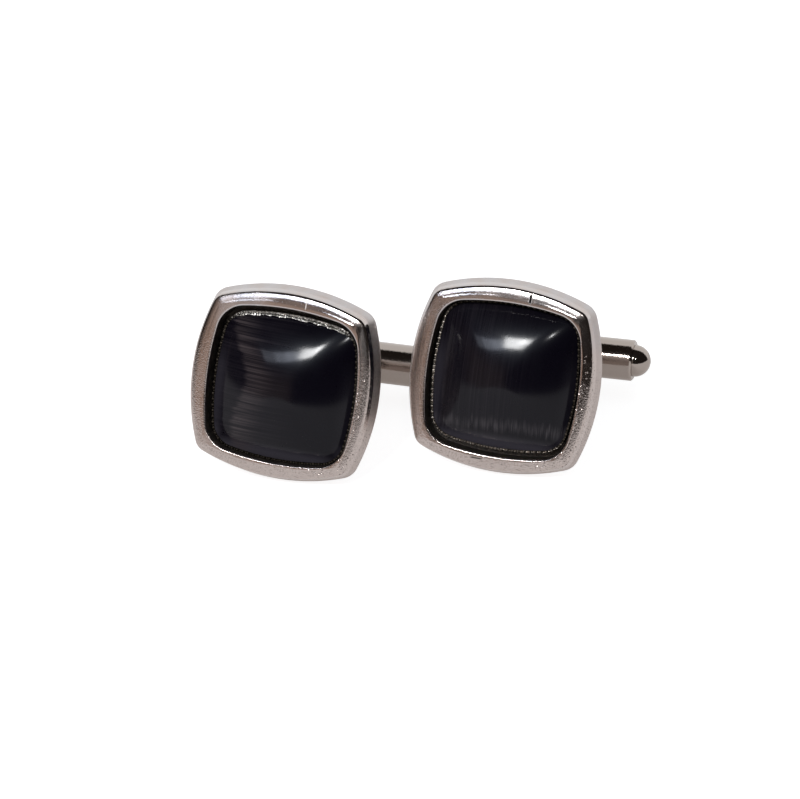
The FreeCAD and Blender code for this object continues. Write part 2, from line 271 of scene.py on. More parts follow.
class Graph:
    """Short calls for the node tree of one finish."""

    def __init__(self, name: str) -> None:
        """Make an empty material with its shader and output.

        Args:
            name: name of the new material.
        """
        self.material = bpy.data.materials.new(name)
        self.material.use_nodes = True
        self.tree = self.material.node_tree
        self.tree.nodes.clear()
        self.shader = self.tree.nodes.new("ShaderNodeBsdfPrincipled")
        self.output = self.tree.nodes.new("ShaderNodeOutputMaterial")
        self.tree.links.new(self.shader.outputs["BSDF"], self.output.inputs["Surface"])

    def feed(self, socket: Socket, value: Any) -> None:
        """Link a socket, or set its value where that is a plain number or colour.

        Args:
            socket: the input to feed.
            value: an output socket, a number or a colour.
        """
        if isinstance(value, bpy.types.NodeSocket):
            self.tree.links.new(value, socket)
        elif isinstance(value, tuple) and len(value) == 3 and socket.type == "RGBA":
            socket.default_value = (*value, 1.0)
        else:
            socket.default_value = value

    def surface(self, **values: Any) -> None:
        """Feed the shader's sockets.

        Args:
            **values: a value for each socket, named with _ for a blank.
        """
        for key, value in values.items():
            self.feed(self.shader.inputs[key.replace("_", " ")], value)

    def mapped(self, vector: Socket, **values: Any) -> Socket:
        """Pass coordinates through a Mapping node.

        Args:
            vector: the coordinates.
            **values: Location, Rotation or Scale of the node.

        Returns:
            The vector socket.
        """
        node = self.tree.nodes.new("ShaderNodeMapping")
        for key, value in values.items():
            node.inputs[key].default_value = value
        self.tree.links.new(vector, node.inputs["Vector"])
        return node.outputs["Vector"]

    def place(self, frame: LinkFrame | None = None, stretch: Sequence[float] = (1, 1, 1),
              tilt: float = 0.0) -> Socket:
        """Coordinates in the link's own millimetres.

        Args:
            frame: the link that the pattern follows, or None for the frame of the pair.
            stretch: scale of the pattern along x, y and z.
            tilt: turn of the pattern about the face's normal, in degrees.

        Returns:
            The vector socket.
        """
        vector = self.tree.nodes.new("ShaderNodeTexCoord").outputs["Object"]
        if frame is None:
            vector = self.mapped(vector, Scale=(1 / MM, 1 / MM, 1 / MM))
        else:
            location, rotation, scale = frame.mapping()
            vector = self.mapped(vector, Location=location, Rotation=rotation, Scale=scale)
        if tuple(stretch) == (1, 1, 1) and not tilt:
            return vector
        turned = self.mapped(vector, Rotation=(0, 0, math.radians(tilt)))
        return self.mapped(turned, Scale=tuple(stretch))

    def noise(self, vector: Socket, scale: float, detail: float = 3.0,
              roughness: float = 0.5) -> Socket:
        """Cloudy noise over the given coordinates, about 0 to 1.

        Args:
            vector: the coordinates.
            scale: clouds along one unit of them.
            detail: how many finer layers are added.
            roughness: strength of the finer layers.

        Returns:
            The value socket.
        """
        node = self.tree.nodes.new("ShaderNodeTexNoise")
        node.inputs["Scale"].default_value = scale
        node.inputs["Detail"].default_value = detail
        node.inputs["Roughness"].default_value = roughness
        self.tree.links.new(vector, node.inputs["Vector"])
        return node.outputs["Fac"]

    def cells(self, vector: Socket, scale: float) -> Socket:
        """Distance to the nearest of scattered points.

        Args:
            vector: the coordinates.
            scale: points along one unit of them.

        Returns:
            The value socket.
        """
        node = self.tree.nodes.new("ShaderNodeTexVoronoi")
        node.inputs["Scale"].default_value = scale
        self.tree.links.new(vector, node.inputs["Vector"])
        return node.outputs["Distance"]

    def span(self, value: Socket, low: float, high: float, to_low: float = 0.0,
             to_high: float = 1.0, smooth: bool = False) -> Socket:
        """Map a value from one range to another, clamped.

        Args:
            value: the value to map.
            low: where the first range starts.
            high: where it ends.
            to_low: result at the start.
            to_high: result at the end.
            smooth: ease in and out of the range.

        Returns:
            The value socket.
        """
        node = self.tree.nodes.new("ShaderNodeMapRange")
        node.interpolation_type = "SMOOTHSTEP" if smooth else "LINEAR"
        numbers = {"From Min": low, "From Max": high, "To Min": to_low, "To Max": to_high}
        for key, number in numbers.items():
            node.inputs[key].default_value = number
        self.tree.links.new(value, node.inputs["Value"])
        return node.outputs["Result"]

    def ease(self, value: Socket, low: float, high: float, to_low: float = 0.0,
             to_high: float = 1.0) -> Socket:
        """Map a value as span does, easing in and out of the range."""
        return self.span(value, low, high, to_low, to_high, smooth=True)

    def math(self, operation: str, a: Any, b: Any = 0.0) -> Socket:
        """One sum of two values.

        Args:
            operation: Blender's name of the sum.
            a: the first value, a socket or a number.
            b: the second value.

        Returns:
            The value socket.
        """
        node = self.tree.nodes.new("ShaderNodeMath")
        node.operation = operation
        self.feed(node.inputs[0], a)
        self.feed(node.inputs[1], b)
        return node.outputs[0]

    def plus(self, a: Any, b: Any) -> Socket:
        """The sum of two values."""
        return self.math("ADD", a, b)

    def minus(self, a: Any, b: Any) -> Socket:
        """The first value less the second."""
        return self.math("SUBTRACT", a, b)

    def times(self, a: Any, b: Any) -> Socket:
        """The product of two values."""
        return self.math("MULTIPLY", a, b)

    def most(self, a: Any, b: Any) -> Socket:
        """The larger of two values."""
        return self.math("MAXIMUM", a, b)

    def axis(self, vector: Socket, which: int) -> Socket:
        """One part of a vector.

        Args:
            vector: the vector.
            which: X, Y or Z.

        Returns:
            The value socket.
        """
        node = self.tree.nodes.new("ShaderNodeSeparateXYZ")
        self.tree.links.new(vector, node.inputs[0])
        return node.outputs[which]

    def blend(self, share: Any, a: Any, b: Any) -> Socket:
        """Mix two colours.

        Args:
            share: 0 for the first colour, 1 for the second.
            a: the first colour.
            b: the second colour.

        Returns:
            The colour socket.
        """
        node = self.tree.nodes.new("ShaderNodeMix")
        node.data_type = "RGBA"
        self.feed(node.inputs[0], share)
        self.feed(node.inputs[6], a)
        self.feed(node.inputs[7], b)
        return node.outputs[2]

    def bump(self, height: Socket, depth: float) -> Socket:
        """Surface relief from a height.

        Args:
            height: the height, about 0 to 1.
            depth: how deep that is, in millimetres.

        Returns:
            The normal socket.
        """
        node = self.tree.nodes.new("ShaderNodeBump")
        node.inputs["Distance"].default_value = depth * MM
        self.tree.links.new(height, node.inputs["Height"])
        return node.outputs["Normal"]


@dataclass(frozen=True)
class Nick:
    """A small cut or scuff in the front's plating: middle, half size across and up, and tone."""

    middle: Span
    half: Span
    tone: Colour
    front: Span = (2.4, 2.6)
    soft_edge: Span = (0.7, 1.2)

    def share(self, g: Graph, at: Socket) -> Socket:
        """Share of the nick at each place, with soft edges.

        Args:
            g: the node tree that asks.
            at: coordinates in the link's millimetres.

        Returns:
            The value socket.
        """
        total = g.span(g.axis(at, Z), *self.front)
        for axis in (X, Y):
            away = g.math("ABSOLUTE", g.minus(g.axis(at, axis), self.middle[axis]))
            edge = (self.half[axis] * part for part in self.soft_edge)
            total = g.times(total, g.span(away, *edge, 1.0, 0.0))
        return total


@dataclass(frozen=True)
class PlatedMetal:
    """Bright plating over a cast piece, with grain, fine scratches and pits opened in places.

    A scale counts marks along a millimetre, an edge is the range of noise over which a mark
    fades in, and heights and places are in the link's millimetres. A run of scratches has its
    scale along and across, its tilt in degrees and the scale of its noise. A dulled stretch of
    the front has its start, its end and the roughness that it adds.
    """

    name: str
    colour: Colour = (0.57, 0.55, 0.555)
    worn: Colour = (0.57, 0.495, 0.458)
    pit: Colour = (0.07, 0.06, 0.055)
    roughness: Span = (0.08, 0.17)
    cloud_scale: float = 0.55
    fine_scale: float = 5.5
    fine_part: float = 0.6
    polish_edge: Span = (0.55, 1.05)
    rub_edge: Span = (0.35, 0.68)
    rub_below: Span = (5.5, 3.0)
    rub_most: Span = (0.8, 0.85)
    grit_scale: float = 9.5
    grain_below: Span = (5.5, 2.5)
    grain_above: Span = (0.8, 1.6)
    grain_lean: float = 0.0
    pore_share: float = 0.0
    pore_edge: Span = (0.52, 0.70)
    scratch_runs: tuple[tuple[float, float, float, float], ...] = (
        (0.9, 14.0, 24.0, 1.0),
        (0.8, 16.0, -52.0, 1.1),
    )
    scratch_edge: Span = (0.66, 0.74)
    pit_scale: float = 3.6
    pit_size: Span = (0.10, 0.26)
    patch_scale: float = 0.9
    patch_edge: Span = (0.42, 0.58)
    pit_share: float = 0.0
    pit_least: float = 0.08
    pit_corner: Span = (6.5, -4.5)
    pit_fade: Span = (6.0, 7.0)
    pit_dulling: float = 0.35
    dull_below: float = -100.0
    dull_fade: float = 0.2
    side_dulling: float = 0.3
    front: Span = (2.80, 2.90)
    dull_front: tuple[tuple[float, float, float], ...] = ()
    nicks: tuple[Nick, ...] = ()
    nick_dulling: float = 0.4
    relief: float = 0.005
    grit_depth: float = 3.2
    scratch_depth: float = 0.08
    pit_depth: float = 7.0

    def material(self, frame: LinkFrame) -> bpy.types.Material:
        """Make the plating for one link.

        Args:
            frame: the link whose millimetres the pattern follows.

        Returns:
            The material.
        """
        g = Graph(self.name)
        at = g.place(frame)
        cloud = g.noise(at, self.cloud_scale, detail=4.0, roughness=0.6)
        fine = g.noise(at, self.fine_scale, detail=4.0, roughness=0.66)
        grit = g.noise(at, self.grit_scale, detail=2.0)
        low = self._grained(g, at)
        wear = self._pits(g, at)
        rubbed = g.most(g.span(cloud, *self.rub_edge, 0.0, self.rub_most[0]),
                        g.span(g.axis(at, Y), *self.rub_below, 0.0, self.rub_most[1]))
        pores = g.times(g.span(grit, *self.pore_edge, 0.0, self.pore_share), low)
        plated = g.blend(rubbed, self.colour, self.worn)
        tint = g.blend(wear, g.blend(pores, plated, self.pit), self.pit)
        dull = self._dulling(g, at, wear)
        for nick in self.nicks:
            share = nick.share(g, at)
            tint = g.blend(share, tint, nick.tone)
            dull = g.plus(dull, g.times(share, self.nick_dulling))
        mottle = g.plus(cloud, g.times(fine, self.fine_part))
        polish = g.span(mottle, *self.polish_edge, *self.roughness)
        cast = g.plus(fine, g.times(g.times(grit, low), -self.grit_depth))
        cut = g.minus(cast, g.times(self._scratches(g, frame), self.scratch_depth))
        height = g.minus(cut, g.times(wear, self.pit_depth))
        g.surface(Base_Color=tint, Metallic=1.0, Roughness=g.plus(polish, dull),
                  Normal=g.bump(height, self.relief))
        return g.material

    def _grained(self, g: Graph, at: Socket) -> Socket:
        """Share of open grain: below a line that may lean, and off the back.

        Args:
            g: the node tree that asks.
            at: coordinates in the link's millimetres.

        Returns:
            The value socket.
        """
        leant = g.plus(g.axis(at, Y), g.times(g.axis(at, X), self.grain_lean))
        return g.times(g.span(leant, *self.grain_below), g.span(g.axis(at, Z), *self.grain_above))

    def _pits(self, g: Graph, at: Socket) -> Socket:
        """Share of pits, in patches: most at one corner of the face, few elsewhere.

        Args:
            g: the node tree that asks.
            at: coordinates in the link's millimetres.

        Returns:
            The value socket.
        """
        spots = g.span(g.cells(at, self.pit_scale), *self.pit_size, 1.0, 0.0)
        patches = g.noise(at, self.patch_scale, detail=3.0, roughness=0.7)
        sparse = g.times(spots, g.span(patches, *self.patch_edge))
        x, y = self.pit_corner
        across = g.ease(g.axis(at, X), x - self.pit_fade[0], x)
        down = g.ease(g.axis(at, Y), y + self.pit_fade[1], y)
        corner = g.most(g.times(g.times(across, down), self.pit_share), self.pit_least)
        return g.times(sparse, corner)

    def _scratches(self, g: Graph, frame: LinkFrame) -> Socket:
        """Share of fine scratches, which run in a few directions.

        Args:
            g: the node tree that asks.
            frame: the link whose millimetres the pattern follows.

        Returns:
            The value socket.
        """
        total: Any = 0.0
        for along, across, tilt, scale in self.scratch_runs:
            run = g.noise(g.place(frame, (along, across, 1.0), tilt), scale, detail=2.0)
            total = g.most(total, g.span(run, *self.scratch_edge))
        return total

    def _dulling(self, g: Graph, at: Socket, wear: Socket) -> Socket:
        """Roughness that is added where the plating is pitted, low on the side or dull in front.

        Args:
            g: the node tree that asks.
            at: coordinates in the link's millimetres.
            wear: share of pits.

        Returns:
            The value socket.
        """
        height = g.axis(at, Z)
        low = g.span(height, self.dull_below - self.dull_fade, self.dull_below,
                     self.side_dulling, 0.0)
        dull = g.plus(g.times(wear, self.pit_dulling), low)
        front = g.span(height, *self.front)
        for start, end, amount in self.dull_front:
            stretch = g.ease(g.axis(at, X), start, end, 0.0, amount)
            dull = g.plus(dull, g.times(front, stretch))
        return dull


@dataclass(frozen=True)
class PaintedRecessShade:
    """Painted shade in the deep channel round the stone: a near-black colour for the shade there,
    with lighter random patches.
    """

    name: str
    colour: Colour = (0.030, 0.026, 0.023)
    rubbed: Colour = (0.11, 0.09, 0.072)
    metal_share: float = 0.6
    roughness: Span = (0.32, 0.55)
    patch_scale: float = 2.2
    patch_edge: Span = (0.45, 0.75)
    grain_scale: float = 8.0
    relief: float = 0.01

    def material(self, frame: LinkFrame) -> bpy.types.Material:
        """Make the channel's painted shade for one link.

        Args:
            frame: the link whose millimetres the pattern follows.

        Returns:
            The material.
        """
        g = Graph(self.name)
        at = g.place(frame)
        patch = g.noise(at, self.patch_scale, detail=4.0, roughness=0.6)
        # Painted shade: the channel is coloured near black for the shade that falls in it.
        tint = g.blend(g.span(patch, *self.patch_edge), self.colour, self.rubbed)
        g.surface(Base_Color=tint, Metallic=self.metal_share,
                  Roughness=g.span(patch, *NOISE_BULK, *self.roughness),
                  Normal=g.bump(g.noise(at, self.grain_scale), self.relief))
        return g.material


@dataclass(frozen=True)
class CatEyeGlass:
    """Black fibre glass: fine fibres, a painted sheen as one soft band of light across them, and a
    polished face.

    Fibres are given as scale across and along them, and places in the link's millimetres.
    """

    name: str
    run: FibreRun
    band_place: float
    band_reach: Span
    band_sway: Span
    painted_glow_edge: Span
    body: Colour = (0.0024, 0.0018, 0.0042)
    painted_thread_glow: Colour = (0.0135, 0.0112, 0.0150)
    painted_sheen: Colour = (0.060, 0.048, 0.050)
    painted_edge_light: Colour = (0.046, 0.042, 0.052)
    glow_tint: Colour = (0.72, 0.84, 1.0)
    polish: float = 0.39
    polish_roughness: float = 0.12
    bloom: float = 0.04
    roughness: Span = (0.26, 0.34)
    smear_scale: float = 1.1
    smear_edge: Span = (0.3, 0.75)
    index: float = 1.52
    thin_fibres: Span = (12.0, 0.12)
    thin_edge: Span = (0.40, 0.68)
    thin_least: float = 0.12
    broad_fibres: Span = (4.6, 0.10)
    broad_edge: Span = (0.30, 0.70)
    broad_least: float = 0.5
    wander: float = 1.3
    wander_scale: float = 0.9
    sway_reach: Span = (5.0, -4.0)
    relief: float = 0.006
    ripple_scale: float = 0.8
    fibre_relief: float = 0.02
    border_edge: Span = (4.6, 5.7)
    border_sides: Span = (3.6, 5.0)
    border_left: float = 0.48
    border_right: float = 0.10
    border_bottom: float = 0.50
    border_top: Span = (3.5, 0.5)

    def material(self, frame: LinkFrame, middle: Vector) -> bpy.types.Material:
        """Make the glass for one link.

        Args:
            frame: the link whose millimetres the fibres follow.
            middle: where the stone's middle lies in the link, in millimetres.

        Returns:
            The material.
        """
        g = Graph(self.name)
        at = g.place(frame)
        across, along = (X, Y) if self.run is FibreRun.UPRIGHT else (Y, X)
        thin = g.place(frame, self._stretch(across, *self.thin_fibres))
        broad = g.place(frame, self._stretch(across, *self.broad_fibres))
        fibres = g.span(g.noise(thin, 1.0, detail=3.0, roughness=0.6), *self.thin_edge)
        strands = g.span(g.noise(broad, 1.0, detail=2.0), *self.broad_edge)
        even = g.plus(g.times(strands, 1 - self.broad_least), self.broad_least)
        threads = g.times(g.plus(g.times(fibres, 1 - self.thin_least), self.thin_least), even)
        uneven = g.minus(g.noise(broad, self.wander_scale, detail=2.0), 0.5)
        wander = g.times(uneven, self.wander)
        sway = g.plus(*(g.ease(g.axis(at, across), 0.0, reach, 0.0, amount)
                        for reach, amount in zip(self.sway_reach, self.band_sway)))
        past = g.minus(g.plus(g.axis(at, along), g.plus(wander, sway)), self.band_place)
        # glow is the share of the painted sheen, the band of light painted across the fibres.
        glow = g.times(g.ease(past, -self.band_reach[0], 0.0),
                       g.ease(past, 0.0, self.band_reach[1], 1.0, 0.0))
        # Painted glow: the real fibre threads show in a paler painted glow of light that fades out
        # towards the right of the stone.
        painted_glow_share = g.ease(g.axis(at, X), *self.painted_glow_edge, 1.0, 0.0)
        dim = g.blend(g.times(threads, painted_glow_share), self.body, self.painted_thread_glow)
        # Painted light: the edge is painted paler round its lower half.
        dim = g.blend(self._painted_edge_light(g, at, middle), dim, self.painted_edge_light)
        smear = g.noise(at, self.smear_scale, detail=4.0)
        ripple = g.noise(at, self.ripple_scale, detail=2.0)
        height = g.plus(ripple, g.times(fibres, self.fibre_relief))
        # Painted sheen: the soft band of light across the fibres is painted into the base colour.
        g.surface(Base_Color=g.blend(g.times(glow, threads), dim, self.painted_sheen),
                  Roughness=g.span(smear, *self.smear_edge, *self.roughness),
                  IOR=self.index, Specular_IOR_Level=self.bloom, Specular_Tint=self.glow_tint,
                  Coat_Weight=self.polish, Coat_Roughness=self.polish_roughness,
                  Normal=g.bump(height, self.relief))
        return g.material

    @staticmethod
    def _stretch(across: int, fine: float, long: float) -> list[float]:
        """Scale of fibres along x, y and z: fine across them, long the other two ways."""
        return [fine if axis == across else long for axis in (X, Y, Z)]

    def _painted_edge_light(self, g: Graph, at: Socket, middle: Vector) -> Socket:
        """Share of the painted pale light round the lower half of the edge, strongest on the left
        and bottom.

        Args:
            g: the node tree that asks.
            at: coordinates in the link's millimetres.
            middle: where the stone's middle lies in the link.

        Returns:
            The value socket.
        """
        x = g.minus(g.axis(at, X), middle.x)
        y = g.minus(g.axis(at, Y), middle.y)
        away = g.most(g.math("ABSOLUTE", x), g.math("ABSOLUTE", y))
        near = g.ease(away, *self.border_edge)
        start, end = self.border_sides
        sides = g.plus(g.ease(x, start, end, self.border_left, self.border_right),
                       g.ease(y, -start, -end, 0.0, self.border_bottom))
        return g.times(near, g.times(sides, g.ease(y, *self.border_top)))


@dataclass(frozen=True)
class ChippedSilver:
    """Rough metal of the cup's toothed edge: painted light on the given sides, broken into patches,
    and painted shade with dirt elsewhere.
    """

    name: str
    lit_sides: tuple[Span, ...]
    colour: Colour = (0.62, 0.60, 0.57)
    dirt_and_painted_shade: Colour = (0.045, 0.038, 0.031)
    roughness: Span = (0.50, 0.22)
    side_edge: Span = (4.4, 5.5)
    rub_scale: float = 2.6
    rub_edge: Span = (0.40, 0.62)
    rub_least: float = 0.25
    grain_scale: float = 5.0
    relief: float = 0.03

    def material(self, frame: LinkFrame) -> bpy.types.Material:
        """Make the toothed edge's metal for one link.

        Args:
            frame: the link whose millimetres the pattern follows.

        Returns:
            The material.
        """
        g = Graph(self.name)
        at = g.place(frame)
        # Painted light and shade: the given sides are painted bright as lit, and the rest is painted
        # dark as shade.
        lit_share: Any = 0.0
        for x, y in self.lit_sides:
            reach = g.plus(g.times(g.axis(at, X), x), g.times(g.axis(at, Y), y))
            lit_share = g.most(lit_share, g.ease(reach, *self.side_edge))
        patches = g.noise(at, self.rub_scale, detail=4.0, roughness=0.65)
        share = g.times(lit_share, g.span(patches, *self.rub_edge, 1.0, self.rub_least))
        g.surface(Base_Color=g.blend(share, self.dirt_and_painted_shade, self.colour), Metallic=1.0,
                  Roughness=g.span(share, 0.0, 1.0, *self.roughness),
                  Normal=g.bump(g.noise(at, self.grain_scale), self.relief))
        return g.material


@dataclass(frozen=True)
class SpringSteel:
    """Cold-rolled strip with fine drawing lines and a grey bloom."""

    name: str
    colour: Colour = (0.42, 0.41, 0.40)
    bloom: Colour = (0.24, 0.22, 0.20)
    roughness: Span = (0.26, 0.40)
    drawing: tuple[float, float, float] = (9.0, 0.5, 0.5)
    bloom_scale: float = 1.3
    bloom_edge: Span = (0.4, 0.7)
    relief: float = 0.008

    def material(self, frame: LinkFrame) -> bpy.types.Material:
        """Make the strip's steel for one link.

        Args:
            frame: the link whose millimetres the pattern follows.

        Returns:
            The material.
        """
        g = Graph(self.name)
        lines = g.noise(g.place(frame, self.drawing), 1.0)
        patches = g.noise(g.place(frame), self.bloom_scale, detail=4.0)
        tint = g.blend(g.span(patches, *self.bloom_edge), self.colour, self.bloom)
        g.surface(Base_Color=tint, Metallic=1.0,
                  Roughness=g.span(lines, *NOISE_BULK, *self.roughness),
                  Normal=g.bump(lines, self.relief))
        return g.material


@dataclass(frozen=True)
class SettingCement:
    """Dull grey bed under the stone."""

    name: str
    colour: Colour = (0.30, 0.28, 0.24)
    stain: Colour = (0.19, 0.17, 0.14)
    roughness: Span = (0.62, 0.85)
    grain_scale: float = 5.0
    stain_edge: Span = (0.35, 0.7)
    relief: float = 0.03

    def material(self, frame: LinkFrame) -> bpy.types.Material:
        """Make the cement for one link.

        Args:
            frame: the link whose millimetres the pattern follows.

        Returns:
            The material.
        """
        g = Graph(self.name)
        grain = g.noise(g.place(frame), self.grain_scale, detail=4.0, roughness=0.6)
        g.surface(Base_Color=g.blend(g.span(grain, *self.stain_edge), self.colour, self.stain),
                  Roughness=g.span(grain, *NOISE_BULK, *self.roughness),
                  Normal=g.bump(grain, self.relief))
        return g.material


@dataclass
class HeadRim:
    """Cast rim and back of a head, in millimetres.

    It has a rounded back, a leaning side, a tight shoulder, a front that is domed and then
    sloped, and a deep recess.
    """

    side: Side
    frame: LinkFrame
    outline: Cushion = field(default_factory=lambda: Cushion(8.14, 17.5, 1.6))
    opening: Cushion = field(default_factory=lambda: Cushion(6.46, 23.26, 2.46))
    opening_place: Vector = field(default_factory=lambda: Vector((0.18, -0.08, 0)))
    height: float = 3.05
    floor: float = 1.05
    back_round: float = 1.16
    side_run: float = 0.448
    front_run: float = 0.656
    slope_run: float = 0.336
    front_radius: float = 2.5
    front_slope: float = 6.0
    shoulder_round: float = 0.36
    lip_round: float = 0.14
    waviness: float = 0.010
    wave_scale: float = 0.55
    per_side: int = 104
    per_corner: int = 36
    back_steps: int = 10
    side_stops: tuple[float, ...] = (0.3, 0.6, 0.9)
    shoulder_steps: int = 8
    dome_steps: int = 14
    slope_stops: tuple[float, ...] = (0.2, 0.4, 0.6, 0.8, 1.0)
    lip_steps: int = 7
    recess_stops: tuple[float, ...] = (0.08, 0.3, 0.65, 1.0)
    recess_slot: int = 1
    sharp_angle: float = 32.0
    obj: bpy.types.Object | None = None

    def section(self) -> list[Span]:
        """The rim's section from its back to the end of the domed front.

        Returns:
            Points, each as distance inside the outline and height.
        """
        radius, tight = self.front_radius, self.shoulder_round
        slope = math.radians(self.front_slope)
        steep = math.pi / 2 - slope
        end = Vector((self.side_run + self.front_run,
                      self.height - self.slope_run * math.tan(slope)))
        front = end + Vector((math.cos(steep), -math.sin(steep))) * radius
        low = Vector((0.0, self.back_round))
        rise_to = front.y + math.sqrt(radius ** 2 - (front.x - self.side_run) ** 2)
        rise = (Vector((self.side_run, rise_to)) - low).normalized()
        inward = Vector((rise.y, -rise.x))
        start = low + inward * tight - front
        along = start.dot(rise)
        reach = math.sqrt(along ** 2 - start.dot(start) + (radius - tight) ** 2)
        turn = front + start + rise * (reach - along)
        lean = math.atan2(rise.x, rise.y)
        meet = math.atan2(turn.y - front.y, front.x - turn.x)
        points: list[Span] = []
        for i in range(self.back_steps + 1):
            a = math.pi / 2 * i / self.back_steps
            points.append((self.back_round * (1 - math.sin(a)),
                           self.back_round * (1 - math.cos(a))))
        top = turn - inward * tight
        points.extend(tuple(low.lerp(top, share)) for share in self.side_stops)
        for i in range(self.shoulder_steps + 1):
            a = lean + (meet - lean) * i / self.shoulder_steps
            points.append((turn.x - tight * math.cos(a), turn.y + tight * math.sin(a)))
        for i in range(1, self.dome_steps + 1):
            a = meet + (steep - meet) * i / self.dome_steps
            points.append((front.x - radius * math.cos(a), front.y + radius * math.sin(a)))
        return points

    def build(self) -> bpy.types.Object:
        """Draw the rim ring by ring from its back to the floor of its recess.

        Returns:
            The new piece, riding on its link in place of the solid.
        """
        section = self.section()
        skin = Skin(f"{self.side.value}_head_rim", self._ring(*section[0]))
        for inset, height in section[1:]:
            skin.extrude(self._ring(inset, height))
        for share in self.slope_stops:
            skin.extrude(self._placed(self._slope(*section[-1], share)))
        crest = [p.z for p in self._slope(*section[-1], 1.0)]
        for i in range(1, self.lip_steps + 1):
            a = math.pi / 2 * i / self.lip_steps
            drop = self.lip_round * (1 - math.cos(a))
            outside = self.lip_round * (1 - math.sin(a))
            skin.extrude(self._placed(self._opening(outside, [z - drop for z in crest])))
        for share in self.recess_stops:
            heights = [(z - self.lip_round) * (1 - share) + self.floor * share for z in crest]
            skin.extrude(self._placed(self._opening(0.0, heights)), finish=self.recess_slot)
        skin.cap()
        self.obj = skin.finish(self.sharp_angle)
        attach(self.obj, f"{self.side.value}_link")
        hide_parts(f"{self.side.value}_head_frame")
        return self.obj

    def dress(self, plating: PlatedMetal, recess: PaintedRecessShade) -> None:
        """Give the rim its plating and the recess its painted shade."""
        self.obj.data.materials.append(plating.material(self.frame))
        self.obj.data.materials.append(recess.material(self.frame))

    def _ring(self, inset: float, height: float) -> list[Vector]:
        """One ring inside the outline at a height, in metres."""
        points = self.outline.grown(-inset).stations(self.per_side, self.per_corner)
        return self._placed([p + Vector((0, 0, height)) for p in points])

    def _slope(self, inset: float, low: float, share: float) -> list[Vector]:
        """Points of the front's sloped part, between its domed part and the opening's lip.

        Args:
            inset: where the slope starts, as distance inside the outline.
            low: height at which it starts.
            share: how far along the slope, from 0 at its start to 1 at the lip.

        Returns:
            The points, in millimetres.
        """
        steepness = math.tan(math.radians(self.front_slope))
        start = self.outline.grown(-inset).stations(self.per_side, self.per_corner)
        lip = self._opening(self.lip_round, [0.0] * len(start))
        points = []
        for a, b in zip(start, lip):
            flat = a.lerp(b, share)
            height = min(self.height, low + (flat - a).length * steepness)
            points.append(flat + Vector((0, 0, height)))
        return points

    def _opening(self, outside: float, heights: Sequence[float]) -> list[Vector]:
        """Points round the recess, which lies a little off the head's middle.

        Args:
            outside: distance outside the recess's wall.
            heights: height of each point.

        Returns:
            The points, in millimetres.
        """
        points = self.opening.grown(outside).stations(self.per_side, self.per_corner)
        return [p + self.opening_place + Vector((0, 0, z)) for p, z in zip(points, heights)]

    def _placed(self, points: Sequence[Vector]) -> list[Vector]:
        """Take points of the head to the pair's frame, with the casting's slight waviness.

        Args:
            points: the points, in millimetres.

        Returns:
            The points, in metres.
        """
        placed = []
        seed = WAVE_SEED[self.side]
        for p in points:
            amount = self.waviness if p.z > self.back_round else 0.0
            stir = noise.noise_vector(p * self.wave_scale + seed) * amount
            placed.append(self.frame.place(p + stir))
        return placed


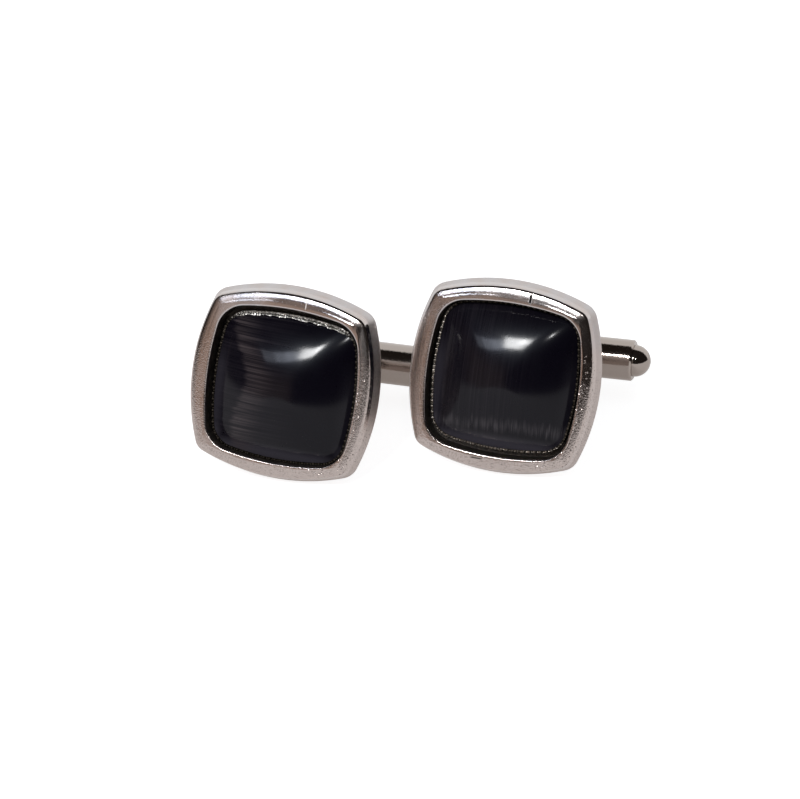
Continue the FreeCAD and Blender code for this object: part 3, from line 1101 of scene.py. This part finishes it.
@dataclass
class CatEyeStone:
    """Cushion cabochon: an upright girdle under a vault that grows rounder towards the crown."""

    side: Side
    frame: LinkFrame
    shift: Vector
    outline: Cushion = field(default_factory=lambda: Cushion(6.0, 22.8, 2.0))
    base: float = 1.37
    girdle: float = 0.60
    girdle_steps: int = 2
    rise: float = 1.8
    crown_side: float = 1.3
    crown_corner: float = 0.62
    crown_ease: float = 2.5
    cells: int = 128
    side_part: int = 3
    sharp_angle: float = 40.0
    obj: bpy.types.Object | None = None

    def build(self) -> bpy.types.Object:
        """Shape a grid into the vaulted face, and extrude its edge down into the girdle.

        Returns:
            The new piece, riding on its link in place of the solid.
        """
        bpy.ops.object.select_all(action="DESELECT")
        bpy.ops.mesh.primitive_grid_add(x_subdivisions=self.cells, y_subdivisions=self.cells,
                                        size=2.0)
        self.obj = bpy.context.object
        self.obj.name = self.obj.data.name = f"{self.side.value}_cabochon"
        levels = [self._contour(2 * i / self.cells) for i in range(self.cells // 2 + 1)]
        for vertex in self.obj.data.vertices:
            vertex.co = self._vault(vertex.co.x, vertex.co.y, levels)
        bpy.ops.object.mode_set(mode="EDIT")
        bpy.ops.mesh.select_mode(type="EDGE")
        bpy.ops.mesh.select_all(action="DESELECT")
        bpy.ops.mesh.select_non_manifold()
        down = -(self.frame.turn.col[2]) * self.girdle * MM
        step = {"value": tuple(down / self.girdle_steps)}
        for _ in range(self.girdle_steps):
            bpy.ops.mesh.extrude_region_move(TRANSFORM_OT_translate=step)
        bpy.ops.mesh.edge_face_add()
        bpy.ops.mesh.select_all(action="SELECT")
        bpy.ops.mesh.normals_make_consistent(inside=False)
        bpy.ops.object.mode_set(mode="OBJECT")
        bpy.ops.object.shade_smooth_by_angle(angle=math.radians(self.sharp_angle))
        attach(self.obj, f"{self.side.value}_link")
        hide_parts(f"{self.side.value}_cat_eye_stone")
        return self.obj

    def dress(self, glass: CatEyeGlass) -> None:
        """Give the stone its fibre glass."""
        self.obj.data.materials.append(glass.material(self.frame, self.shift))

    def _contour(self, share: float) -> list[Vector]:
        """Closely spaced points of one level's outline, before it is drawn in to its size.

        Args:
            share: the level, from 0 at the crown to 1 at the girdle.

        Returns:
            The points, in millimetres.
        """
        shape, ease = self.outline, share ** self.crown_ease
        side = shape.side_radius * ease + shape.half * self.crown_side * (1 - ease)
        corner = shape.corner_radius * ease + shape.half * self.crown_corner * (1 - ease)
        return Cushion(shape.half, side, corner).stations(self.side_part * self.cells, self.cells)

    def _vault(self, u: float, v: float, levels: Sequence[Sequence[Vector]]) -> Vector:
        """Place of a point of the square grid on the vaulted face.

        Args:
            u: place across the grid, from -1 to 1.
            v: place up the grid, from -1 to 1.
            levels: points of the outline at each level of the grid, from the crown out.

        Returns:
            The place in the frame of the pair, in metres.
        """
        share = max(abs(u), abs(v))
        radius = (self.outline.half ** 2 + self.rise ** 2) / (2 * self.rise)
        drop = radius - math.sqrt(radius ** 2 - (self.outline.half * share) ** 2)
        flat = Vector((0, 0, 0))
        if share > 0:
            level = levels[round(share * self.cells / 2)]
            flat = self._edge(u / share, v / share, level) * share
        up = Vector((0, 0, self.base + self.girdle + self.rise - drop))
        return self.frame.place(flat + self.shift + up)

    def _edge(self, u: float, v: float, around: Sequence[Vector]) -> Vector:
        """Point of the outline that belongs to a point of the square's edge.

        Args:
            u: place across the square, from -1 to 1.
            v: place up the square, from -1 to 1.
            around: points of the outline.

        Returns:
            The point, in millimetres.
        """
        count = len(around)
        quarter = count // 4
        side = self.side_part * self.cells
        middle = side / 2
        reach = (side + self.cells) / 2
        if v >= abs(u):
            place = middle + u * reach
        elif u >= abs(v):
            place = middle + quarter - v * reach
        elif -v >= abs(u):
            place = middle + 2 * quarter - u * reach
        else:
            place = middle + 3 * quarter + v * reach
        low = math.floor(place)
        return around[low % count].lerp(around[(low + 1) % count], place - low)


@dataclass
class ToothedCup:
    """Thin cup that holds the stone, with an uneven toothed edge pressed towards the glass."""

    side: Side
    frame: LinkFrame
    shift: Vector
    inner: Cushion = field(default_factory=lambda: Cushion(6.02, 22.82, 2.02))
    wall: float = 0.16
    bottom: float = 1.05
    floor: float = 0.20
    top: float = 2.05
    tooth_depth: float = 0.24
    tooth_pitch: float = 0.48
    tooth_point: float = 1.6
    tooth_mean: float = 0.75
    tooth_spread: float = 0.5
    wear_scale: float = 0.9
    chip_scale: float = 3.1
    chip_seed: float = 4.0
    chip_depth: float = 0.16
    edge_inset: float = 0.01
    edge_share: float = 0.85
    crest_insets: Span = (0.05, 0.11)
    fold: float = 0.0
    fold_stops: tuple[float, ...] = (0.35, 0.7, 1.0)
    fold_pitch: float = 0.24
    fold_start: float = 4.3
    fold_fade: float = 1.0
    fold_half: float = 5.6
    fold_end: float = 1.2
    fold_lift: float = 0.06
    fold_ripple: float = 0.02
    fold_mean: float = 0.75
    fold_spread: float = 0.5
    fold_scale: float = 1.7
    fold_seed: Span = (3.3, 8.1)
    per_side: int = 280
    per_corner: int = 80
    sharp_angle: float = 50.0
    obj: bpy.types.Object | None = None

    def build(self) -> bpy.types.Object:
        """Draw the cup from its underside up the outside, over the teeth and down to its floor.

        Returns:
            The new piece, riding on its link in place of the solid.
        """
        edge = self.inner.grown(self.wall / 2).stations(self.per_side, self.per_corner)
        teeth = self._teeth(edge)
        skin = Skin(f"{self.side.value}_toothed_cup", self._ring(0.0, self.bottom, 0.0, teeth))
        for inset, height, share in (
            (0.0, self.top - 2 * self.tooth_depth, 0.0),
            (0.0, self.top - self.tooth_depth, 0.0),
            (self.edge_inset, self.top, self.edge_share),
            (self.crest_insets[0], self.top, 1.0),
            (self.crest_insets[1], self.top, 1.0),
            (self.wall - self.edge_inset, self.top, self.edge_share),
        ):
            skin.extrude(self._ring(inset, height, share, teeth))
        for share in self.fold_stops:
            skin.extrude(self._folded(share, teeth))
        for height in (self.top - self.tooth_depth, self.bottom + self.floor):
            skin.extrude(self._ring(self.wall, height, 0.0, teeth))
        skin.cap()
        self.obj = skin.finish(self.sharp_angle)
        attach(self.obj, f"{self.side.value}_link")
        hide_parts(f"{self.side.value}_bezel_cup")
        return self.obj

    def dress(self, metal: ChippedSilver) -> None:
        """Give the cup its rough metal, with painted light on its lit sides and painted shade
        elsewhere.
        """
        self.obj.data.materials.append(metal.material(self.frame))

    def _stations(self, inset: float) -> list[Vector]:
        """Points round the cup at a distance inside its outer wall, in millimetres."""
        outline = self.inner.grown(self.wall).grown(-inset)
        return outline.stations(self.per_side, self.per_corner)

    def _teeth(self, edge: Sequence[Vector]) -> list[float]:
        """Depth of the notches below the cup's top, uneven from tooth to tooth.

        Args:
            edge: points round the middle of the wall.

        Returns:
            The depth at each point, in millimetres.
        """
        following = [*edge[1:], edge[0]]
        total = sum((b - a).length for a, b in zip(edge, following))
        count = round(total / self.tooth_pitch)
        depths, run = [], 0.0
        seed = TOOTH_SEED[self.side]
        for a, b in zip(edge, following):
            phase = run / total * count
            worn = noise.noise(Vector((a.x * self.wear_scale, a.y * self.wear_scale, seed)))
            chip = noise.noise(Vector((a.x * self.chip_scale, a.y * self.chip_scale,
                                       seed + self.chip_seed)))
            dip = (0.5 - 0.5 * math.cos(2 * math.pi * phase)) ** self.tooth_point
            share = dip * (self.tooth_mean + self.tooth_spread * worn) + self.chip_depth * chip
            depths.append(self.tooth_depth * clamped(share))
            run += (b - a).length
        return depths

    def _folded(self, share: float, teeth: Sequence[float]) -> list[Vector]:
        """One ring of the teeth that are pressed in over the stone along the top side.

        Args:
            share: how far along the pressed tooth, from the wall to its tip.
            teeth: depth of the notches at each station.

        Returns:
            The ring, in metres.
        """
        ring = []
        for point, depth in zip(self._stations(self.wall), teeth):
            near = (clamped((point.y - self.fold_start) / self.fold_fade)
                    * clamped((self.fold_half - abs(point.x)) / self.fold_end))
            wander = noise.noise(Vector((point.x * self.fold_scale, *self.fold_seed)))
            ragged = self.fold_mean + self.fold_spread * wander
            height = self.top - self.edge_share * depth * (1 - near)
            if self.fold > 0:
                wave = math.cos(2 * math.pi * point.x / self.fold_pitch)
                ripple = self.fold_ripple * near * wave
                height += self.fold_lift * (1 + share) * near + ripple
            inward = Vector((0, -self.fold * near * ragged * share, height))
            ring.append(self.frame.place(point + self.shift + inward))
        return ring

    def _ring(self, inset: float, height: float, share: float,
              teeth: Sequence[float]) -> list[Vector]:
        """One ring of the cup, lowered at the notches.

        Args:
            inset: distance inside the outer wall.
            height: height between the notches.
            share: share of the notches' depth by which the ring is lowered.
            teeth: depth of the notches at each station.

        Returns:
            The ring, in metres.
        """
        return [self.frame.place(p + self.shift + Vector((0, 0, height - share * depth)))
                for p, depth in zip(self._stations(inset), teeth)]


@dataclass
class BarAndFork:
    """Cement, post, fork, spring, rivet and swinging bar of a link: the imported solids, dressed."""

    side: Side
    frame: LinkFrame
    nodes: dict[str, bpy.types.Object]

    def dress(self, finishes: dict[str, Any]) -> None:
        """Give each solid its finish.

        Args:
            finishes: finish by the solid's name without its side.
        """
        made: dict[str, bpy.types.Material] = {}
        for piece, finish in finishes.items():
            if finish.name not in made:
                made[finish.name] = finish.material(self.frame)
            node = self.nodes[f"{self.side.value}_{piece}"]
            node.data.materials.clear()
            node.data.materials.append(made[finish.name])
            LOG.info("%s dressed with %s", node.name, finish.name)


@dataclass(frozen=True)
class Lamp:
    """A soft panel lamp: where it stands and how large it looks, in degrees, and how bright."""

    name: str
    azimuth: float
    elevation: float
    width: float
    height: float
    brightness: float
    colour: Colour = (1.0, 1.0, 1.0)
    roll: float = 0.0
    distance: float = 0.55

    def build(self, target: Vector) -> bpy.types.Object:
        """Hang the lamp so that it faces the pair.

        Args:
            target: the point that it faces.

        Returns:
            The lamp.
        """
        way = direction(self.azimuth, self.elevation)
        data = bpy.data.lights.new(self.name, "AREA")
        data.shape = "RECTANGLE"
        data.size = 2 * self.distance * math.tan(math.radians(self.width / 2))
        data.size_y = 2 * self.distance * math.tan(math.radians(self.height / 2))
        data.energy = self.brightness * math.pi * data.size * data.size_y
        data.color = self.colour
        lamp = bpy.data.objects.new(self.name, data)
        bpy.context.scene.collection.objects.link(lamp)
        lamp.location = target + way * self.distance
        rolled = Matrix.Rotation(math.radians(self.roll), 3, "Z")
        lamp.rotation_euler = (way.to_track_quat("Z", "Y").to_matrix() @ rolled).to_euler()
        lamp.visible_camera = False
        return lamp


COOL = (0.80, 0.86, 1.0)
SECOND_ROLL = 22.0


@dataclass
class Studio:
    """Pale floor, dark hood in front, soft lamps and the camera.

    Lengths are in metres, and the hood's light patch is placed in millimetres.
    """

    target: Vector = field(default_factory=lambda: Vector((-2.243, -10.163, 7.34)) * MM)
    elevation: float = 24.4
    distance: float = 0.300
    focal_pixels: float = 3635.0
    image_width: float = 800.0
    sensor_width: float = 36.0
    near_clip: float = 0.01
    floor_size: float = 6.0
    floor_scale: float = 0.02
    floor_roughness: float = 0.9
    floor_tones: tuple[Colour, Colour] = ((0.50, 0.50, 0.50), (0.48, 0.48, 0.485))
    floor_mirrored: Colour = (1.0, 0.945, 0.92)
    floor_glow: float = 0.82
    mirrored_glow: float = 0.42
    hood_radius: float = 1.2
    hood_segments: int = 72
    hood_rings: int = 36
    hood_back: float = 0.25
    hood_top: float = 0.93
    hood_dark: Colour = (0.022, 0.018, 0.016)
    hood_light: Colour = (0.43, 0.32, 0.265)
    light_right: Span = (-380.0, -560.0)
    light_left: Span = (-1120.0, -900.0)
    light_below: Span = (700.0, 150.0)
    fill_colour: Colour = (0.95, 0.96, 1.0)
    fill_strength: float = 0.45
    lamps: tuple[Lamp, ...] = (
        Lamp("key_panel", -22.0, 40.6, 9.5, 9.4, 52.0),
        Lamp("key_wing", -16.0, 42.2, 4.0, 4.6, 44.0),
        Lamp("second_panel", -31.6, 37.0, 6.0, 8.2, 8.5, COOL, SECOND_ROLL),
        Lamp("second_middle", -37.8, 34.5, 7.0, 8.2, 6.5, COOL, SECOND_ROLL),
        Lamp("second_fade", -45.2, 31.4, 8.5, 7.8, 3.2, COOL, SECOND_ROLL),
        Lamp("small_lamp", 4.8, 40.0, 0.8, 0.8, 560.0),
    )

    def build(self) -> None:
        """Set up floor, hood, lamps, world and camera."""
        self._floor()
        self._hood()
        for lamp in self.lamps:
            lamp.build(self.target)
        self._world()
        self._camera()
        bpy.context.scene.view_settings.view_transform = "Standard"

    def _floor(self) -> None:
        """Lay a wide white table top that keeps the pair's soft shadow."""
        bpy.ops.object.select_all(action="DESELECT")
        bpy.ops.mesh.primitive_plane_add(size=self.floor_size, location=(0, 0, 0))
        floor = bpy.context.object
        floor.name = "table_top"
        g = Graph("white_table")
        tree = g.tree
        tone = g.blend(g.noise(g.place(), self.floor_scale, detail=2.0), *self.floor_tones)
        g.surface(Base_Color=tone, Roughness=self.floor_roughness, Specular_IOR_Level=0.0)
        glow = tree.nodes.new("ShaderNodeEmission")
        path = tree.nodes.new("ShaderNodeLightPath")
        tint = g.blend(path.outputs["Is Camera Ray"], self.floor_mirrored, (1.0, 1.0, 1.0))
        strength = self._seen(tree, self.floor_glow, self.mirrored_glow)
        tree.links.new(tint, glow.inputs["Color"])
        tree.links.new(strength, glow.inputs["Strength"])
        both = tree.nodes.new("ShaderNodeAddShader")
        tree.links.new(g.shader.outputs["BSDF"], both.inputs[0])
        tree.links.new(glow.outputs["Emission"], both.inputs[1])
        tree.links.new(both.outputs[0], g.output.inputs["Surface"])
        floor.data.materials.append(g.material)

    def _seen(self, tree: bpy.types.NodeTree, direct: float, mirrored: float) -> Socket:
        """Strength for what is looked at, and 0 for soft light.

        Args:
            tree: the node tree that asks.
            direct: strength for the camera.
            mirrored: strength for what polished metal or glass shows.

        Returns:
            The value socket.
        """
        path = tree.nodes.new("ShaderNodeLightPath")
        total: Any = None
        strengths = {"Is Camera Ray": direct, "Is Glossy Ray": mirrored,
                     "Is Transmission Ray": mirrored}
        for key, strength in strengths.items():
            node = tree.nodes.new("ShaderNodeMath")
            node.operation = "MULTIPLY_ADD"
            tree.links.new(path.outputs[key], node.inputs[0])
            node.inputs[1].default_value = strength
            node.inputs[2].default_value = 0.0
            if total is not None:
                tree.links.new(total, node.inputs[2])
            total = node.outputs[0]
        return total

    def _hood(self) -> None:
        """Stand a dark hood over and in front of the pair, which only polished faces see."""
        bpy.ops.object.select_all(action="DESELECT")
        bpy.ops.mesh.primitive_uv_sphere_add(
            segments=self.hood_segments, ring_count=self.hood_rings, radius=self.hood_radius,
            location=(0, 0, 0))
        hood = bpy.context.object
        hood.name = "dark_hood"
        bpy.ops.object.mode_set(mode="EDIT")
        bpy.ops.mesh.select_mode(type="FACE")
        bpy.ops.mesh.select_all(action="DESELECT")
        edit = bmesh.from_edit_mesh(hood.data)
        for face in edit.faces:
            way = face.calc_center_median().normalized()
            behind = way.y > self.hood_back and way.z < self.hood_top
            face.select = way.z < 0.0 or behind
        bmesh.update_edit_mesh(hood.data)
        bpy.ops.mesh.delete(type="FACE")
        bpy.ops.object.mode_set(mode="OBJECT")
        g = Graph("hood_cloth")
        at = g.place()
        left = g.times(g.ease(g.axis(at, X), *self.light_right),
                       g.ease(g.axis(at, X), *self.light_left))
        low = g.ease(g.axis(at, Z), *self.light_below)
        tone = g.blend(g.times(left, low), self.hood_dark, self.hood_light)
        g.surface(Base_Color=(0.0, 0.0, 0.0), Emission_Color=tone, Emission_Strength=1.0,
                  Specular_IOR_Level=0.0)
        hood.data.materials.append(g.material)
        hood.visible_camera = False
        hood.visible_diffuse = False
        hood.visible_shadow = False

    def _world(self) -> None:
        """Give white surroundings for what is seen, and a soft even fill for what is lit."""
        world = bpy.data.worlds.new("studio")
        world.use_nodes = True
        tree = world.node_tree
        tree.nodes.clear()
        output = tree.nodes.new("ShaderNodeOutputWorld")
        fill = tree.nodes.new("ShaderNodeBackground")
        fill.inputs["Color"].default_value = (*self.fill_colour, 1)
        fill.inputs["Strength"].default_value = self.fill_strength
        white = tree.nodes.new("ShaderNodeBackground")
        white.inputs["Color"].default_value = (1, 1, 1, 1)
        white.inputs["Strength"].default_value = 1.0
        mix = tree.nodes.new("ShaderNodeMixShader")
        tree.links.new(self._seen(tree, 1.0, 1.0), mix.inputs[0])
        tree.links.new(fill.outputs[0], mix.inputs[1])
        tree.links.new(white.outputs[0], mix.inputs[2])
        tree.links.new(mix.outputs[0], output.inputs["Surface"])
        bpy.context.scene.world = world

    def _camera(self) -> None:
        """Set the camera at the photograph's height and distance."""
        data = bpy.data.cameras.new("camera")
        data.sensor_fit = "HORIZONTAL"
        data.sensor_width = self.sensor_width
        data.lens = self.focal_pixels / self.image_width * data.sensor_width
        data.clip_start = self.near_clip
        camera = bpy.data.objects.new("camera", data)
        bpy.context.scene.collection.objects.link(camera)
        back = direction(0.0, self.elevation)
        camera.location = self.target + back * self.distance
        camera.rotation_euler = back.to_track_quat("Z", "Y").to_euler()
        bpy.context.scene.camera = camera


POST_LENGTH = 16.0 * MM
HEAD_TURN = -3.2
NOISE_SEED = 7
WAVE_SEED = {Side.LEFT: Vector((3.1, 7.7, 1.3)), Side.RIGHT: Vector((11.9, 2.3, 5.1))}
TOOTH_SEED = {Side.LEFT: 2.7, Side.RIGHT: 9.4}
CUP_SHIFT = {Side.LEFT: Vector((0.18, -0.318, 0)), Side.RIGHT: Vector((0.18, 0.088, 0))}
CUP_FOLD = {Side.LEFT: 0.22, Side.RIGHT: 0.0}
# Sides of each cup's edge that are painted as lit; the rest of the edge is painted shade.
CUP_METAL = {
    Side.LEFT: ChippedSilver("left_tooth_metal", lit_sides=((0.0, 1.0),)),
    Side.RIGHT: ChippedSilver("right_tooth_metal", lit_sides=((-1.0, 0.0), (0.0, -1.0)),
                              colour=(0.30, 0.27, 0.24)),
}
# Each glass places its painted sheen, the band of light, and fades its painted glow out towards the
# right.
GLASS = {
    Side.LEFT: CatEyeGlass(
        "left_fibre_glass", FibreRun.ACROSS, band_place=-2.5, band_reach=(0.6, 2.6),
        band_sway=(2.0, 0.95), painted_glow_edge=(-1.5, 2.5)),
    Side.RIGHT: CatEyeGlass(
        "right_fibre_glass", FibreRun.UPRIGHT, band_place=-3.83, band_reach=(0.7, 0.8),
        band_sway=(0.0, 0.5), painted_glow_edge=(-3.0, 4.5), painted_sheen=(0.052, 0.046, 0.051)),
}
PLATING = {
    Side.LEFT: PlatedMetal(
        "left_rim_plating", pore_share=0.45, pit_share=1.0, pit_corner=(6.3, -2.0),
        dull_below=2.3, dull_front=((6.2, 6.5, 0.10), (-0.6, -3.0, 0.15), (-5.6, -6.6, -0.15)),
        nicks=(Nick((1.44, 6.9), (0.035, 0.32), (0.60, 0.55, 0.52)),)),
    Side.RIGHT: PlatedMetal(
        "right_rim_plating", grain_lean=0.45, pore_share=0.65, pit_share=1.0,
        pit_corner=(6.3, -1.0), dull_below=2.3,
        dull_front=((-6.0, -4.0, 0.04), (5.2, 6.4, -0.04)),
        nicks=(Nick((1.67, 7.0), (0.12, 0.42), (0.010, 0.009, 0.008)),
               Nick((-1.15, -6.9), (0.50, 0.06), (0.10, 0.09, 0.08)))),
}


def main() -> None:
    """Load the frame, build and dress both links, and set up the studio."""
    logging.basicConfig(level=logging.INFO, format="%(name)s: %(message)s")
    noise.seed_set(NOISE_SEED)
    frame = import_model()
    for side in Side:
        place = LinkFrame.from_record(frame["record"], side, POST_LENGTH, HEAD_TURN)
        rim = HeadRim(side, place)
        stone = CatEyeStone(side, place, CUP_SHIFT[side])
        cup = ToothedCup(side, place, CUP_SHIFT[side], fold=CUP_FOLD[side])
        for piece in (rim, stone, cup):
            LOG.info("%s has %d faces", piece.build().name, len(piece.obj.data.polygons))
        # The recess gets painted shade: a near-black colour for the shade in the channel.
        rim.dress(PLATING[side], PaintedRecessShade(f"{side.value}_recess_painted_shade"))
        stone.dress(GLASS[side])
        cup.dress(CUP_METAL[side])
        bar = PlatedMetal(f"{side.value}_bar_plating", colour=(0.44, 0.405, 0.39),
                          worn=(0.40, 0.35, 0.315), roughness=(0.07, 0.13))
        BarAndFork(side, place, frame["nodes"]).dress({
            "yoke": PlatedMetal(f"{side.value}_fitting_plating", pit_share=0.3),
            "pivot_pin": PlatedMetal(f"{side.value}_rivet_plating", roughness=(0.14, 0.28)),
            "click_spring": SpringSteel(f"{side.value}_spring_steel"),
            "stone_cement": SettingCement(f"{side.value}_cement"),
            "toggle_barrel": bar,
            "toggle_tip_a": bar,
            "toggle_tip_b": bar,
        })
    Studio().build()


if __name__ == "__main__":
    main()
